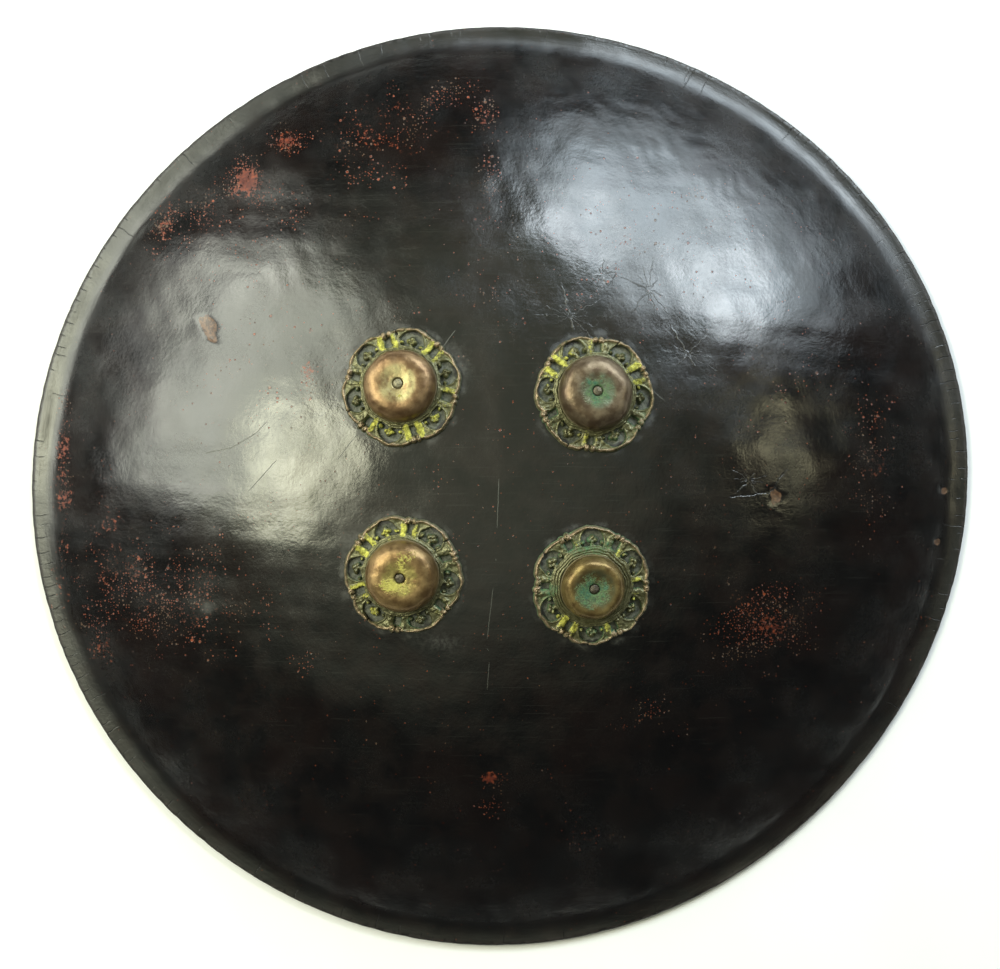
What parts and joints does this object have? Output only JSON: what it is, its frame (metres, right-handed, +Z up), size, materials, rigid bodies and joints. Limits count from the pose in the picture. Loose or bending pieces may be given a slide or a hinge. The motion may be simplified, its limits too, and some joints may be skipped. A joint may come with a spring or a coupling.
{
  "type": "round hide shield",
  "caption": "Round domed hide shield with a turned-out rim, capped bosses on pierced rosettes and ring-hung grip straps.",
  "frame": {"origin": "middle of the rim's box, on the surface that the rim lies on", "axes": "+Z up out of the domed front, +Y towards the upper pair of bosses, +X towards the right-hand pair seen from the front"},
  "size_m": [0.4996, 0.4906, 0.0967],
  "materials": {
    "lacquered_hide": "worn glossy black lacquer over red",
    "rosette_brass": "cast, olive tarnish with yellow and green residue",
    "cap_copper": "rubbed copper with verdigris",
    "back_iron": "forged, dark",
    "strap_leather": "old, creased"
  },
  "bodies": {
    "root": {"hide_disc": "lacquered_hide", "rosette_upper_left": "rosette_brass", "cap_upper_left": "cap_copper", "ring_bolt_upper_left": "back_iron", "washer_upper_left": "back_iron", "grip_ring_upper_left": "back_iron", "rosette_upper_right": "rosette_brass", "cap_upper_right": "cap_copper", "ring_bolt_upper_right": "back_iron", "washer_upper_right": "back_iron", "grip_ring_upper_right": "back_iron", "rosette_lower_left": "rosette_brass", "cap_lower_left": "cap_copper", "ring_bolt_lower_left": "back_iron", "washer_lower_left": "back_iron", "grip_ring_lower_left": "back_iron", "rosette_lower_right": "rosette_brass", "cap_lower_right": "cap_copper", "ring_bolt_lower_right": "back_iron", "washer_lower_right": "back_iron", "grip_ring_lower_right": "back_iron", "grip_strap_left": "strap_leather", "grip_strap_right": "strap_leather"}
  },
  "joints": []
}
